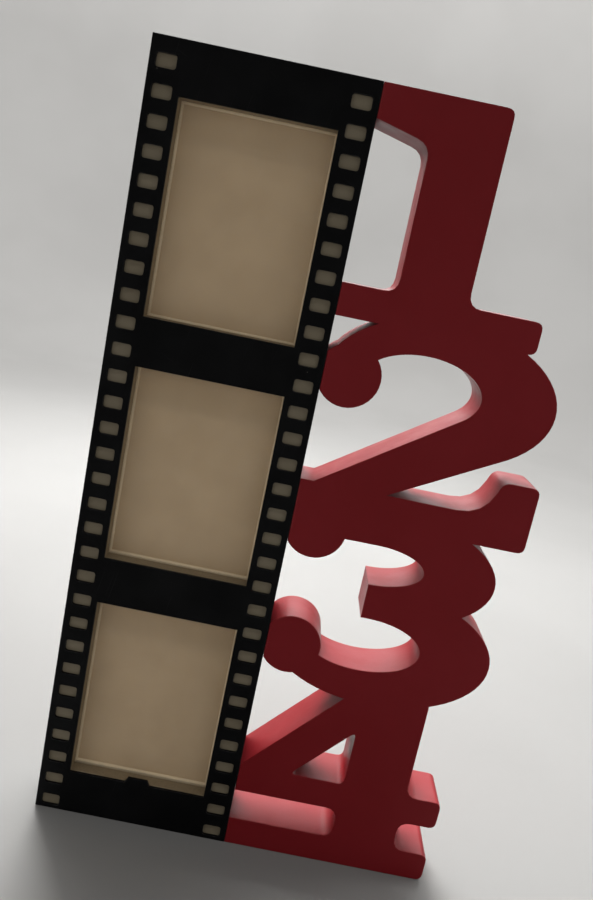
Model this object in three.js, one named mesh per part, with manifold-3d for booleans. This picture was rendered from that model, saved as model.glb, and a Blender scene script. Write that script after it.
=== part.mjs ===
// Film strip photo frame: a black film strip with three photo windows, doweled to a red board that is cut
// as four stacked slab-serif numerals. It stands on its flat base.
// Millimetres, +Z up. X runs across the front from left to right, Y from the front face to the back.
// The origin is on the base, in the middle of the whole width and of the thickness.

import * as THREE from "three";
import { mergeVertices } from "three/addons/utils/BufferGeometryUtils.js";
import Module from "manifold-3d";

const wasm = await Module();
wasm.setup();

// Driving sizes of the film strip, seen from the front
const WINDOWS = ["upper", "middle", "lower"];
const TABBED_WINDOW = "lower";
const WINDOW_WIDTH = 56;
const WINDOW_HEIGHT = 76;
const WINDOW_SIDE_MARGIN = 12;
const WINDOW_BAR = 18.5; // the black bar above, below and between the windows
const PERFORATION_PITCH = 10;
const PERFORATION_WIDTH = 7.2;
const PERFORATION_HEIGHT = 4.8;
const PERFORATION_ROUND = 1.1;
const PERFORATION_DROP = 8; // from the strip's top edge to the first perforation's centre
const PERFORATION_LAND = 1.5; // the least sheet left below the last perforation
const TAB_WIDTH = 8; // the small stop tab in the lower window
const TAB_HEIGHT = 2.3;
const TAB_SLANT = 1.2;

// Driving sizes of the layers, from the front to the back
const BOARD_THICKNESS = 21;
const SHEET_THICKNESS = 1.2;
const FACE_THICKNESS = 5.8;
const COVER_THICKNESS = 0.9;
const MAT_THICKNESS = 0.9;
const CARD_THICKNESS = 0.9;
const PANEL_THICKNESS = 2.8;
const GLUE_LINE = 0.1; // the glue between fixed pieces, and the air between loose layers
const PRINT_OVERLAP = 2; // how far a print reaches behind its window's edge, on each side
const POCKET_CLEARANCE = 0.5; // round a print in its pocket, on each side
const MAT_BORDER = 0.75; // how far the mat shows inside its window, on each side

// Driving sizes of the turn buttons and their screws
const BUTTON_WIDTH = 9;
const BUTTON_THICKNESS = 1.5;
const BUTTON_LAP = 6; // how far a button reaches over a back panel
const BUTTON_AIR = 0.3; // below and above a button
const BUTTON_SIDE_AIR = 1; // beside a button that is turned along its ledge, on each side
const PIVOT_CLEARANCE = 0.25; // between a screw's shank and its button
const SHANK_RADIUS = 1.4;
const SCREW_TIP_GAP = 0.9; // from a screw's point to the face board
const SCREW_POINT = 1.6;
const SCREW_HEAD_RADIUS = 3;
const SCREW_HEAD_HEIGHT = 1.8;
const SCREW_RIM = 0.5; // the straight edge below the head's dome
const RECESS_LENGTH = 3.2; // the cross recess in a screw's head
const RECESS_WIDTH = 0.8;
const RECESS_DEPTH = 0.9;
const PILOT_CLEARANCE = 0.1; // between a screw's shank and its pilot hole

// Driving sizes of the numeral board
const NUMERALS = [numeralOne, numeralTwo, numeralThree, numeralFour]; // from the top down
const NUMERAL_WIDTH = 89;
const NUMERAL_OVERLAP = 6; // how far each numeral runs into the next one
const STEM = 26;
const SLAB = 12;
const HAIRLINE = 14;
const BOWL = 28; // the heavy right side of a round bowl
const BOWL_MOUTH = 34; // how far a bowl's open side reaches in from the strip
const DIAGONAL = 15;
const BALL_RADIUS = 12;
const BALL_FLAT = 2.5; // how far a ball terminal is cut off where it butts against the strip
const ONE_STEM_OFFSET = 20;
const ONE_FOOT = 74;
const ONE_FLAG_DROP = 5;
const TWO_REACH = 87;
const TWO_BOWL_FOOT = 27;
const TWO_NECK_OFFSET = 5;
const TWO_NECK_WIDTH = 28; // along the top of the foot
const TWO_FLICK_WIDTH = 14;
const TWO_FLICK_HEIGHT = 14;
const THREE_UPPER_REACH = 82;
const THREE_LOWER_REACH = 88;
const THREE_WAIST = 43; // from the numeral's foot to the middle of its waist
const FOUR_STEM_OFFSET = 43;
const FOUR_BAR_HEIGHT = 25; // from the base to the crossbar's underside
const FOUR_BAR_TAIL = 15; // the crossbar's length to the right of the stem
const FOUR_FOOT = 84;
const FOUR_APEX = 3; // how far the diagonal's top stands left of the stem
const OUTER_ROUND = 3;
const INNER_FILLET = 5;

// Driving sizes of the dowels between the strip and the numeral board
const DOWEL_RADIUS = 3;
const DOWEL_WALL = 2; // the wood left in the stile behind a dowel's hole
const DOWEL_IN_BOARD = 14;
const DOWEL_CLEARANCE = 0.15;
const DOWEL_END_GAP = 0.5;

// How finely round things are faceted
const ARC_STEPS = 4;
const PERFORATION_STEPS = 3;
const DOME_STEPS = 3;
const ROUND_SIDES = 16;
const BALL_SIDES = 36;
const BOWL_SIDES = 64;

// How far a cutter stands past the face that it cuts
const OVERSHOOT = 1;

// How close two corners of a mesh are to count as one
const WELD = 1e-4;

// Sizes that follow from the ones above
const stripWidth = WINDOW_WIDTH + 2 * WINDOW_SIDE_MARGIN;
const stripHeight = WINDOWS.length * WINDOW_HEIGHT + (WINDOWS.length + 1) * WINDOW_BAR;
const windowPitch = WINDOW_HEIGHT + WINDOW_BAR;
const printWidth = WINDOW_WIDTH + 2 * PRINT_OVERLAP;
const printHeight = WINDOW_HEIGHT + 2 * PRINT_OVERLAP;
const pocketWidth = printWidth + 2 * POCKET_CLEARANCE;
const pocketHeight = printHeight + 2 * POCKET_CLEARANCE;
const stileWidth = (stripWidth - pocketWidth) / 2;
const endRailHeight = WINDOW_BAR - (pocketHeight - WINDOW_HEIGHT) / 2;
const crossRailHeight = windowPitch - pocketHeight;
const endLedge = BUTTON_WIDTH + 2 * BUTTON_SIDE_AIR;
const endWall = endRailHeight - endLedge; // the full-depth wall at each end of the strip
const perforationInset = WINDOW_SIDE_MARGIN / 2; // from the strip's side edge to a perforation's centre
const totalWidth = stripWidth + GLUE_LINE + NUMERAL_WIDTH;
const cellHeight = (stripHeight + (NUMERALS.length - 1) * NUMERAL_OVERLAP) / NUMERALS.length;
const cellPitch = cellHeight - NUMERAL_OVERLAP;

// Depths from the front face, where each layer starts
const faceDepth = SHEET_THICKNESS + GLUE_LINE;
const railDepth = faceDepth + FACE_THICKNESS + GLUE_LINE;
const matDepth = railDepth + COVER_THICKNESS + GLUE_LINE;
const cardDepth = matDepth + MAT_THICKNESS + GLUE_LINE;
const panelDepth = cardDepth + CARD_THICKNESS + GLUE_LINE;
const ledgeDepth = panelDepth + PANEL_THICKNESS + GLUE_LINE;
const buttonDepth = ledgeDepth + BUTTON_AIR;
const screwHeadDepth = buttonDepth + BUTTON_THICKNESS + BUTTON_AIR;
const dowelDepth = (railDepth + BOARD_THICKNESS) / 2;
const ledgeThickness = ledgeDepth - railDepth;
const dowelInStile = stileWidth - DOWEL_WALL - DOWEL_END_GAP;

const finishes = {
  film: { color: 0x131316, roughness: 0.5, metalness: 0 },
  cream: { color: 0xcdbb98, roughness: 0.7, metalness: 0 },
  blackPaint: { color: 0x17171a, roughness: 0.6, metalness: 0 },
  clear: { color: 0xe8eef0, roughness: 0.1, metalness: 0, transparent: true, opacity: 0.2 },
  mat: { color: 0xe6dcc4, roughness: 0.9, metalness: 0 },
  card: { color: 0xcbb591, roughness: 0.9, metalness: 0 },
  hardboard: { color: 0x6b4a30, roughness: 0.8, metalness: 0 },
  steel: { color: 0xb9bcc0, roughness: 0.35, metalness: 1 },
  redPaint: { color: 0x8c1f26, roughness: 0.4, metalness: 0 },
  beech: { color: 0xcfa878, roughness: 0.8, metalness: 0 },
};

const frame = new THREE.Group();
frame.position.set(-totalWidth / 2, -BOARD_THICKNESS / 2, 0);

// Puts one piece into the frame. Inside the frame, X starts at the strip's left edge and Y at the front face.
function addPiece(name, geometry, finish, x, y, z) {
  const mesh = new THREE.Mesh(geometry, new THREE.MeshStandardMaterial(finishes[finish]));
  mesh.name = name;
  mesh.position.set(x, y, z);
  frame.add(mesh);
  return mesh;
}

// A closed outline through corners [x, z, radius], each rounded by its own radius, for a shape or a hole
function roundedOutline(corners, outline = new THREE.Shape()) {
  const points = corners.map(([x, z]) => new THREE.Vector2(x, z));
  corners.forEach(([, , radius = 0], i) => {
    const corner = points[i];
    const before = points.at(i - 1);
    const after = points[(i + 1) % points.length];
    const entry = corner.clone().add(before.clone().sub(corner).setLength(radius));
    const exit = corner.clone().add(after.clone().sub(corner).setLength(radius));
    if (i === 0) outline.moveTo(entry.x, entry.y);
    else outline.lineTo(entry.x, entry.y);
    if (radius > 0) outline.quadraticCurveTo(corner.x, corner.y, exit.x, exit.y);
  });
  outline.closePath();
  return outline;
}

// The four corners of a rectangle, anticlockwise from its lower left.
function rectangle(x, z, width, height, radius = 0) {
  return [
    [x, z, radius],
    [x + width, z, radius],
    [x + width, z + height, radius],
    [x, z + height, radius],
  ];
}

// The points of an ellipse with centre x, z and half axes a, b, anticlockwise and each of them once
function ellipse({ x, z, a, b }, sides) {
  return Array.from({ length: sides }, (_, i) => {
    const turn = (2 * Math.PI * i) / sides;
    return new THREE.Vector2(x + a * Math.cos(turn), z + b * Math.sin(turn));
  });
}

// A flat board with this outline in X and Z, whose front face lies at Y = 0.
function board(shape, thickness, steps = ARC_STEPS) {
  const extruded = new THREE.ExtrudeGeometry(shape, {
    depth: thickness,
    bevelEnabled: false,
    curveSegments: steps,
  });
  return extruded.rotateX(Math.PI / 2).translate(0, thickness, 0);
}

// A plain box with its lower left front corner at the origin.
function block(width, depth, height) {
  return new THREE.BoxGeometry(width, depth, height).translate(width / 2, depth / 2, height / 2);
}

// A round bar along Y that starts at the origin.
function barAlongY(radius, length, sides = ROUND_SIDES) {
  return new THREE.CylinderGeometry(radius, radius, length, sides).translate(0, length / 2, 0);
}

// A round bar along X that starts at the origin.
function barAlongX(radius, length, sides = ROUND_SIDES) {
  return barAlongY(radius, length, sides).rotateZ(-Math.PI / 2);
}

// A geometry as a solid that can be joined and cut.
function solid(geometry) {
  const bare = geometry.clone();
  bare.deleteAttribute("normal");
  bare.deleteAttribute("uv");
  const merged = mergeVertices(bare, WELD);
  return new wasm.Manifold(
    new wasm.Mesh({
      numProp: 3,
      vertProperties: new Float32Array(merged.attributes.position.array),
      triVerts: new Uint32Array(merged.index.array),
    }),
  );
}

// A joined or cut solid as a geometry again.
function geometryOf(made) {
  const mesh = made.getMesh();
  return new THREE.BufferGeometry()
    .setAttribute("position", new THREE.BufferAttribute(mesh.vertProperties, 3))
    .setIndex(new THREE.BufferAttribute(mesh.triVerts, 1));
}

function joined(geometries) {
  return geometries.map(solid).reduce((whole, next) => whole.add(next));
}

function cut(geometry, cutters) {
  const whole = geometry.isBufferGeometry ? solid(geometry) : geometry;
  return cutters.map(solid).reduce((left, next) => left.subtract(next), whole);
}

// The lower edge of each window, and of its pocket behind it
const windowFoot = (i) => stripHeight - (i + 1) * windowPitch;
const pocketFoot = (i) => windowFoot(i) - (pocketHeight - WINDOW_HEIGHT) / 2;

// The black film sheet, with its windows, its two rows of perforations and the stop tab

function perforationCentres() {
  const reach = stripHeight - PERFORATION_DROP - PERFORATION_HEIGHT / 2 - PERFORATION_LAND;
  const count = Math.floor(reach / PERFORATION_PITCH) + 1;
  const first = stripHeight - PERFORATION_DROP;
  const rows = Array.from({ length: count }, (_, i) => first - i * PERFORATION_PITCH);
  return rows.flatMap((z) => [perforationInset, stripWidth - perforationInset].map((x) => [x, z]));
}

// The lower window's outline has the tab standing up from the middle of its lower edge.
function tabbedWindow(foot) {
  const middle = stripWidth / 2;
  const [lowerLeft, ...others] = rectangle(WINDOW_SIDE_MARGIN, foot, WINDOW_WIDTH, WINDOW_HEIGHT);
  return [
    lowerLeft,
    [middle - TAB_WIDTH / 2 - TAB_SLANT, foot],
    [middle - TAB_WIDTH / 2, foot + TAB_HEIGHT],
    [middle + TAB_WIDTH / 2, foot + TAB_HEIGHT],
    [middle + TAB_WIDTH / 2 + TAB_SLANT, foot],
    ...others,
  ];
}

function filmSheet() {
  const sheet = roundedOutline(rectangle(0, 0, stripWidth, stripHeight));
  WINDOWS.forEach((name, i) => {
    const plain = rectangle(WINDOW_SIDE_MARGIN, windowFoot(i), WINDOW_WIDTH, WINDOW_HEIGHT);
    const corners = name === TABBED_WINDOW ? tabbedWindow(windowFoot(i)) : plain;
    sheet.holes.push(roundedOutline(corners, new THREE.Path()));
  });
  perforationCentres().forEach(([x, z]) => {
    const corners = rectangle(
      x - PERFORATION_WIDTH / 2,
      z - PERFORATION_HEIGHT / 2,
      PERFORATION_WIDTH,
      PERFORATION_HEIGHT,
      PERFORATION_ROUND,
    );
    sheet.holes.push(roundedOutline(corners, new THREE.Path()));
  });
  addPiece("film_sheet", board(sheet, SHEET_THICKNESS, PERFORATION_STEPS), "film", 0, 0, 0);
}

// The cream face board that carries the sheet and lines the windows
function faceBoard() {
  const face = roundedOutline(rectangle(0, 0, stripWidth, stripHeight));
  WINDOWS.forEach((_, i) => {
    const corners = rectangle(WINDOW_SIDE_MARGIN, windowFoot(i), WINDOW_WIDTH, WINDOW_HEIGHT);
    face.holes.push(roundedOutline(corners, new THREE.Path()));
  });
  addPiece("face_board", board(face, FACE_THICKNESS), "cream", 0, faceDepth, 0);
}

// Where the numerals meet the strip with a face tall enough for a dowel, as heights above the base
const cellFoot = (number) => stripHeight - cellHeight - (number - 1) * cellPitch;
const threeLowerBall = BALL_RADIUS + HAIRLINE / 2;
const threeUpperBall = cellHeight - BALL_RADIUS;
const dowelHeights = [
  cellFoot(1) + cellHeight - SLAB / 2,
  cellFoot(1) + SLAB / 2,
  cellFoot(2) + SLAB / 2,
  cellFoot(3) + threeLowerBall,
  cellFoot(4) + FOUR_BAR_HEIGHT + SLAB / 2,
  cellFoot(4) + SLAB / 2,
];

// A round hole along X for one dowel, at this height, from one X to another.
function dowelHole(fromX, toX, y, z) {
  return barAlongX(DOWEL_RADIUS + DOWEL_CLEARANCE, toX - fromX).translate(fromX, y, z);
}

// Two stiles run the full height, and four rails cross between them behind the face board

function stiles() {
  const depth = BOARD_THICKNESS - railDepth;
  addPiece("left_stile", block(stileWidth, depth, stripHeight), "blackPaint", 0, railDepth, 0);
  const holeDepth = dowelDepth - railDepth;
  const holes = dowelHeights.map((z) => dowelHole(DOWEL_WALL, stileWidth + OVERSHOOT, holeDepth, z));
  const right = cut(block(stileWidth, depth, stripHeight), holes);
  addPiece("right_stile", geometryOf(right), "blackPaint", stripWidth - stileWidth, railDepth, 0);
}

const railWidth = pocketWidth - 2 * GLUE_LINE;

// The pilot hole for a turn button's screw, right through a rail at this height in it
function pilotHole(z) {
  const hole = barAlongY(SHANK_RADIUS + PILOT_CLEARANCE, ledgeThickness + 2 * OVERSHOOT);
  return hole.translate(railWidth / 2, -OVERSHOOT, z);
}

// An end rail is a ledge with a full-depth wall along its outer edge.
function endRail(name, foot, wallFoot, pivot) {
  const ledge = block(railWidth, ledgeThickness, endRailHeight);
  const wall = block(railWidth, BOARD_THICKNESS - railDepth, endWall).translate(0, 0, wallFoot);
  const rail = cut(joined([ledge, wall]), [pilotHole(pivot)]);
  addPiece(name, geometryOf(rail), "blackPaint", stileWidth + GLUE_LINE, railDepth, foot);
}

function crossRail(name, foot) {
  const rail = cut(block(railWidth, ledgeThickness, crossRailHeight), [pilotHole(crossRailHeight / 2)]);
  addPiece(name, geometryOf(rail), "blackPaint", stileWidth + GLUE_LINE, railDepth, foot);
}

// Everything that fills one pocket: clear cover, mat, card and back panel
function photoStack(name, i) {
  const x = (stripWidth - printWidth) / 2;
  const z = pocketFoot(i) + POCKET_CLEARANCE;
  const sheetOf = (thickness) => block(printWidth, thickness, printHeight);
  const mat = roundedOutline(rectangle(0, 0, printWidth, printHeight));
  const border = PRINT_OVERLAP + MAT_BORDER;
  const opening = rectangle(border, border, printWidth - 2 * border, printHeight - 2 * border);
  mat.holes.push(roundedOutline(opening, new THREE.Path()));
  addPiece(`${name}_clear_cover`, sheetOf(COVER_THICKNESS), "clear", x, railDepth, z);
  addPiece(`${name}_mat`, board(mat, MAT_THICKNESS), "mat", x, matDepth, z);
  addPiece(`${name}_photo_card`, sheetOf(CARD_THICKNESS), "card", x, cardDepth, z);
  addPiece(`${name}_back_panel`, sheetOf(PANEL_THICKNESS), "hardboard", x, panelDepth, z);
}

// A turn button reaches this far up and down from its pivot.
function turnButton(name, pivotHeight, reachUp, reachDown) {
  const half = BUTTON_WIDTH / 2;
  const plate = new THREE.Shape();
  plate.absarc(0, reachUp - half, half, 0, Math.PI);
  plate.absarc(0, half - reachDown, half, Math.PI, 2 * Math.PI);
  plate.closePath();
  const bore = SHANK_RADIUS + PIVOT_CLEARANCE;
  plate.holes.push(new THREE.Path(ellipse({ x: 0, z: 0, a: bore, b: bore }, ROUND_SIDES)));
  const button = board(plate, BUTTON_THICKNESS, ROUND_SIDES / 2);
  addPiece(name, button, "steel", stripWidth / 2, buttonDepth, pivotHeight);
}

// A cross-recessed screw, turned about its length, with its head to the back
function pivotScrew(name, pivotHeight) {
  const shank = screwHeadDepth - railDepth - SCREW_TIP_GAP;
  const dome = Array.from({ length: DOME_STEPS }, (_, i) => {
    const rise = (Math.PI / 2) * (i / DOME_STEPS);
    const height = SCREW_RIM + (SCREW_HEAD_HEIGHT - SCREW_RIM) * Math.sin(rise);
    return [SCREW_HEAD_RADIUS * Math.cos(rise), height];
  });
  const profile = [
    [0, -shank],
    [SHANK_RADIUS, -shank + SCREW_POINT],
    [SHANK_RADIUS, 0],
    [SCREW_HEAD_RADIUS, 0],
    ...dome,
    [0, SCREW_HEAD_HEIGHT],
  ].map(([radius, y]) => new THREE.Vector2(radius, y));
  const turned = new THREE.LatheGeometry(profile, ROUND_SIDES);
  const slots = [
    [RECESS_LENGTH, RECESS_WIDTH],
    [RECESS_WIDTH, RECESS_LENGTH],
  ].map(([x, z]) => new THREE.BoxGeometry(x, 2 * RECESS_DEPTH, z).translate(0, SCREW_HEAD_HEIGHT, 0));
  const screw = cut(turned, slots);
  addPiece(name, geometryOf(screw), "steel", stripWidth / 2, screwHeadDepth, pivotHeight);
}

// The numeral board

// A piece of the board as a solid, over its full thickness
function plank(shape) {
  return solid(board(shape, BOARD_THICKNESS));
}

// A cutter with this outline that goes right through the board
function cutter(points) {
  const prism = board(new THREE.Shape(points), BOARD_THICKNESS + 2 * OVERSHOOT);
  return solid(prism.translate(0, -OVERSHOOT, 0));
}

// A ball terminal that butts against the strip, at this height in its cell
function ballTerminal(z) {
  const ball = { x: BALL_RADIUS - BALL_FLAT, z, a: BALL_RADIUS, b: BALL_RADIUS };
  return plank(new THREE.Shape(ellipse(ball, BALL_SIDES)));
}

// The two ellipses of a round bowl between two heights: heavy at its right side, and a hairline elsewhere
function bowlEllipses(reach, foot, top) {
  const outer = { x: reach / 2, z: (top + foot) / 2, a: reach / 2, b: (top - foot) / 2 };
  const inner = {
    x: outer.x - (BOWL - HAIRLINE) / 2,
    z: outer.z,
    a: outer.a - (BOWL + HAIRLINE) / 2,
    b: outer.b - HAIRLINE,
  };
  return { outer, inner };
}

// A bowl with part of its ring cut away
function bowl({ outer, inner }, cutaway) {
  const ring = new THREE.Shape(ellipse(outer, BOWL_SIDES));
  ring.holes.push(new THREE.Path(ellipse(inner, BOWL_SIDES)));
  return plank(ring).subtract(cutter(cutaway));
}

// The open side of a bowl, between these two heights
function mouth(foot, top) {
  const corners = rectangle(-OVERSHOOT, foot, OVERSHOOT + BOWL_MOUTH, top - foot);
  return corners.map(([x, z]) => new THREE.Vector2(x, z));
}

// Where a line from a point outside an ellipse touches it, on the right of that line's start
function touch({ x, z, a, b }, from) {
  const start = new THREE.Vector2((from.x - x) / a, (from.y - z) / b);
  const turn = start.angle() + Math.acos(1 / start.length());
  return new THREE.Vector2(x + a * Math.cos(turn), z + b * Math.sin(turn));
}

function numeralOne() {
  const stemRight = ONE_STEM_OFFSET + STEM;
  const outline = roundedOutline([
    [0, 0],
    [ONE_FOOT, 0, OUTER_ROUND],
    [ONE_FOOT, SLAB, OUTER_ROUND],
    [stemRight, SLAB, INNER_FILLET],
    [stemRight, cellHeight, OUTER_ROUND],
    [0, cellHeight],
    [0, cellHeight - SLAB],
    [ONE_STEM_OFFSET, cellHeight - SLAB - ONE_FLAG_DROP, INNER_FILLET],
    [ONE_STEM_OFFSET, SLAB, INNER_FILLET],
    [0, SLAB],
  ]);
  return plank(outline);
}

// The two is a bowl that runs into a straight neck, tangent to both of the bowl's ellipses, on a slab foot.
function numeralTwo() {
  const { outer, inner } = bowlEllipses(TWO_REACH, TWO_BOWL_FOOT, cellHeight);
  const neckLeft = new THREE.Vector2(TWO_NECK_OFFSET, SLAB);
  const neckRight = new THREE.Vector2(TWO_NECK_OFFSET + TWO_NECK_WIDTH, SLAB);
  const upperTouch = touch(inner, neckLeft);
  const lowerTouch = touch(outer, neckRight);
  const cutaway = [
    new THREE.Vector2(-OVERSHOOT, outer.z),
    new THREE.Vector2(inner.x, outer.z),
    upperTouch,
    lowerTouch,
    new THREE.Vector2(lowerTouch.x, 0),
    new THREE.Vector2(-OVERSHOOT, 0),
  ];
  const insideBowl = new THREE.Vector2(lowerTouch.x, outer.z);
  const sunk = [neckLeft, neckRight].map((point) => point.clone().setY(0));
  const neck = new THREE.Shape([...sunk, neckRight, lowerTouch, insideBowl, upperTouch, neckLeft]);
  const flickLeft = NUMERAL_WIDTH - TWO_FLICK_WIDTH;
  const flickTop = SLAB + TWO_FLICK_HEIGHT;
  const foot = roundedOutline([
    [0, 0],
    [NUMERAL_WIDTH, 0, OUTER_ROUND],
    [NUMERAL_WIDTH, flickTop, OUTER_ROUND],
    [flickLeft, flickTop, OUTER_ROUND],
    [flickLeft - INNER_FILLET, SLAB, 2 * INNER_FILLET],
    [0, SLAB],
  ]);
  const round = bowl({ outer, inner }, cutaway).add(ballTerminal(outer.z));
  return round.add(plank(neck)).add(plank(foot));
}

// The three is two bowls that share a hairline at the waist.
function numeralThree() {
  const waistFoot = THREE_WAIST - HAIRLINE / 2;
  const waistTop = THREE_WAIST + HAIRLINE / 2;
  const upperMouth = mouth(0, cellHeight - HAIRLINE);
  const upper = bowl(bowlEllipses(THREE_UPPER_REACH, waistFoot, cellHeight), upperMouth);
  const lower = bowl(bowlEllipses(THREE_LOWER_REACH, 0, waistTop), mouth(threeLowerBall, cellHeight));
  return upper.add(lower).add(ballTerminal(threeUpperBall)).add(ballTerminal(threeLowerBall));
}

function numeralFour() {
  const stemRight = FOUR_STEM_OFFSET + STEM;
  const barTop = FOUR_BAR_HEIGHT + SLAB;
  const apex = new THREE.Vector2(FOUR_STEM_OFFSET - FOUR_APEX, cellHeight);
  const heel = new THREE.Vector2(0, barTop);
  const outline = roundedOutline([
    [0, 0],
    [FOUR_FOOT, 0, OUTER_ROUND],
    [FOUR_FOOT, SLAB, OUTER_ROUND],
    [stemRight, SLAB, INNER_FILLET],
    [stemRight, FOUR_BAR_HEIGHT, INNER_FILLET],
    [stemRight + FOUR_BAR_TAIL, FOUR_BAR_HEIGHT, OUTER_ROUND],
    [stemRight + FOUR_BAR_TAIL, barTop, OUTER_ROUND],
    [stemRight, barTop, INNER_FILLET],
    [stemRight, cellHeight, OUTER_ROUND],
    [apex.x, apex.y],
    [heel.x, heel.y],
    [0, FOUR_BAR_HEIGHT],
    [FOUR_STEM_OFFSET, FOUR_BAR_HEIGHT, INNER_FILLET],
    [FOUR_STEM_OFFSET, SLAB, INNER_FILLET],
    [0, SLAB],
  ]);
  // The counter's sloping side runs parallel to the diagonal's outer edge, one stroke width inside it.
  const along = apex.clone().sub(heel).normalize();
  const inside = heel.clone().add(new THREE.Vector2(along.y, -along.x).multiplyScalar(DIAGONAL));
  const atBar = inside.clone().addScaledVector(along, (barTop - inside.y) / along.y);
  const atStem = inside.clone().addScaledVector(along, (FOUR_STEM_OFFSET - inside.x) / along.x);
  const counter = [
    [atBar.x, barTop, OUTER_ROUND],
    [FOUR_STEM_OFFSET, barTop, OUTER_ROUND],
    [FOUR_STEM_OFFSET, atStem.y, OUTER_ROUND],
  ];
  outline.holes.push(roundedOutline(counter, new THREE.Path()));
  return plank(outline);
}

// The four numerals as one board, trimmed straight where it meets the strip and drilled for the dowels
function numeralBoard() {
  const stack = NUMERALS.map((numeral, i) => numeral().translate([0, 0, cellFoot(i + 1)]));
  const blank = solid(block(NUMERAL_WIDTH, BOARD_THICKNESS, stripHeight));
  const holes = dowelHeights.map((z) => dowelHole(-OVERSHOOT, DOWEL_IN_BOARD + DOWEL_END_GAP, dowelDepth, z));
  const whole = cut(stack.reduce((left, next) => left.add(next)).intersect(blank), holes);
  addPiece("numeral_board", geometryOf(whole), "redPaint", stripWidth + GLUE_LINE, 0, 0);
}

function dowels() {
  const length = dowelInStile + GLUE_LINE + DOWEL_IN_BOARD;
  const start = stripWidth - dowelInStile;
  dowelHeights.forEach((z, i) => {
    addPiece(`dowel_${i + 1}`, barAlongX(DOWEL_RADIUS, length), "beech", start, dowelDepth, z);
  });
}

filmSheet();
faceBoard();
stiles();

// Rails from the base up, each with its turn button and screw
const topRailFoot = stripHeight - endRailHeight;
const bottomPivot = endWall + endLedge / 2;
const topPivot = topRailFoot + endLedge / 2;
const upperRailFoot = pocketFoot(0) - crossRailHeight;
const lowerRailFoot = pocketFoot(1) - crossRailHeight;
const shortReach = BUTTON_WIDTH / 2;
const endReach = endLedge / 2 + BUTTON_LAP;
const crossReach = crossRailHeight / 2 + BUTTON_LAP;
endRail("bottom_rail", 0, 0, bottomPivot);
endRail("top_rail", topRailFoot, endLedge, endLedge / 2);
crossRail("upper_cross_rail", upperRailFoot);
crossRail("lower_cross_rail", lowerRailFoot);
WINDOWS.forEach(photoStack);
[
  ["top", topPivot, shortReach, endReach],
  ["upper", upperRailFoot + crossRailHeight / 2, crossReach, crossReach],
  ["lower", lowerRailFoot + crossRailHeight / 2, crossReach, crossReach],
  ["bottom", bottomPivot, endReach, shortReach],
].forEach(([name, pivot, up, down]) => {
  turnButton(`${name}_turn_button`, pivot, up, down);
  pivotScrew(`${name}_pivot_screw`, pivot);
});
numeralBoard();
dowels();

export default frame;
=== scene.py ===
"""Looks of the film strip photo frame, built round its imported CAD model.

Boards, sheets and metal pieces are rebuilt with rounded or bevelled edges from the outlines of their CAD
nodes. Every piece gets a procedural finish. A pale studio and a camera at the photograph's angle show them.
"""

import logging
import math
from dataclasses import dataclass, replace
from enum import Enum, IntEnum

import bpy
import numpy as np
from mathutils import Matrix, Vector
from mathutils.geometry import delaunay_2d_cdt


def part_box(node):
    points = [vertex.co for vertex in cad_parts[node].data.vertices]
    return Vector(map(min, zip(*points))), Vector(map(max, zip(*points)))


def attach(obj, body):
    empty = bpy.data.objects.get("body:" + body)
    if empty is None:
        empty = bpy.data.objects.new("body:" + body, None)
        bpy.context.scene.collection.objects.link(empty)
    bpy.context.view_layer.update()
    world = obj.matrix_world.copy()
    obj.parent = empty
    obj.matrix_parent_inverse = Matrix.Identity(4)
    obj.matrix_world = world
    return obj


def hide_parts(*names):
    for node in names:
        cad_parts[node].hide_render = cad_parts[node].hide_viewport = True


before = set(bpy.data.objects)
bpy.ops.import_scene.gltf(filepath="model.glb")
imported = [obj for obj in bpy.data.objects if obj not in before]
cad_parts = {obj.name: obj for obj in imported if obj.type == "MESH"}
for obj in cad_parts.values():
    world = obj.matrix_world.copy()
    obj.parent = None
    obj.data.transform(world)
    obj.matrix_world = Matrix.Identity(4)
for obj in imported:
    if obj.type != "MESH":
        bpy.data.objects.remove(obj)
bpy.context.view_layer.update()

log = logging.getLogger("film_strip_frame")

Colour = tuple[float, float, float]
Place = tuple[float, float, float]
Socket = bpy.types.NodeSocket

MM = 0.001
WELD = 0.01 * MM  # corners nearer than this are one corner
NEAR_WIDEST = 0.1 * MM  # how near a corner is to the greatest radius on a screw's widest ring
SHORT_EDGE = 0.2 * MM  # rim edges shorter than this are closed up
MITER_LIMIT = 2.0  # the most that a sharp corner is moved inwards, as a multiple of the inset
INSIDE_THE_RIM = 1  # the filling's option that keeps the triangles inside the rim
FILL_TOLERANCE = 1e-5
SMOOTH_BELOW = math.radians(40)
SPECK_CORE = 0.4  # the share of a speck's radius that is full
SPECK_FADE = 0.02  # how softly the cells with a speck are chosen
LEVEL_FROM = 0.3  # the upward part of the normal at which a face starts to hold dust
LEVEL_AT = 0.95  # the upward part at which it holds all its dust
WEAR = "edge_wear"
FRAME_BODY = "frame"


class Axis(Enum):
    """The row axis that a CAD node is a prism along, as the columns (u, v, depth).

    In each case u crossed with v points against the depth, so that an end's triangles are anticlockwise
    in u and v when the end faces the low side.
    """

    ALONG_X = (2, 1, 0)
    ALONG_Y = (0, 2, 1)

    def placed(self, plane: np.ndarray, depth: np.ndarray) -> np.ndarray:
        """Places points of a plane in the row frame.

        Args:
            plane: The points, with their (u, v) in the last two columns.
            depth: Their depths.

        Returns:
            The points as (x, y, z).
        """
        points = np.empty((*plane.shape[:-1], 3))
        points[..., list(self.value)] = np.concatenate([plane, depth[..., None]], axis=-1)
        return points


class Side(IntEnum):
    """The kinds of faces on a prism, in the order of their material slots."""

    NEAR = 0
    FAR = 1
    OUTER_WALL = 2
    HOLE_WALL = 3


# Shader graphs


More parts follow.
